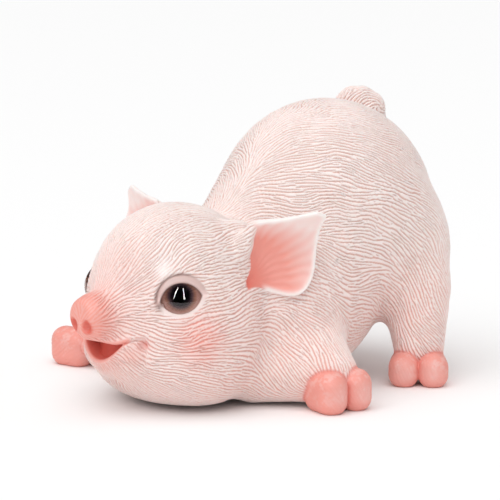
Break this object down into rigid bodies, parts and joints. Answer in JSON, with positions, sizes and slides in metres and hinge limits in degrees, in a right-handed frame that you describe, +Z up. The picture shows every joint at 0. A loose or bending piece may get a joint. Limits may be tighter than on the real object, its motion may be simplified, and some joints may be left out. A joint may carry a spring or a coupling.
{
  "type": "piglet figurine",
  "caption": "Hand-painted cast resin piglet ornament in a play bow: chest down, rump up, forelegs spread, with clear domed eyes.",
  "frame": {"origin": "on the floor, under the middle of the whole figure", "axes": "+Z up, the piglet looks along -Y, its left side is +X"},
  "size_m": [0.1684, 0.192, 0.1259],
  "materials": {
    "painted_resin": "hand-painted cast resin, pale pink with carved hair strokes, satin",
    "clear_acrylic": "polished clear acrylic",
    "painted_iris": "brown painted disc with black pupil",
    "raw_resin": "unpainted resin"
  },
  "bodies": {
    "root": {"torso_casting": "painted_resin", "head_casting": "painted_resin", "left_ear": "painted_resin", "right_ear": "painted_resin", "left_foreleg": "painted_resin", "right_foreleg": "painted_resin", "left_hind_leg": "painted_resin", "right_hind_leg": "painted_resin", "tail": "painted_resin", "left_eye_dome": "clear_acrylic", "right_eye_dome": "clear_acrylic", "left_eye_iris": "painted_iris", "right_eye_iris": "painted_iris", "pour_hole_stopper": "raw_resin"}
  },
  "joints": []
}
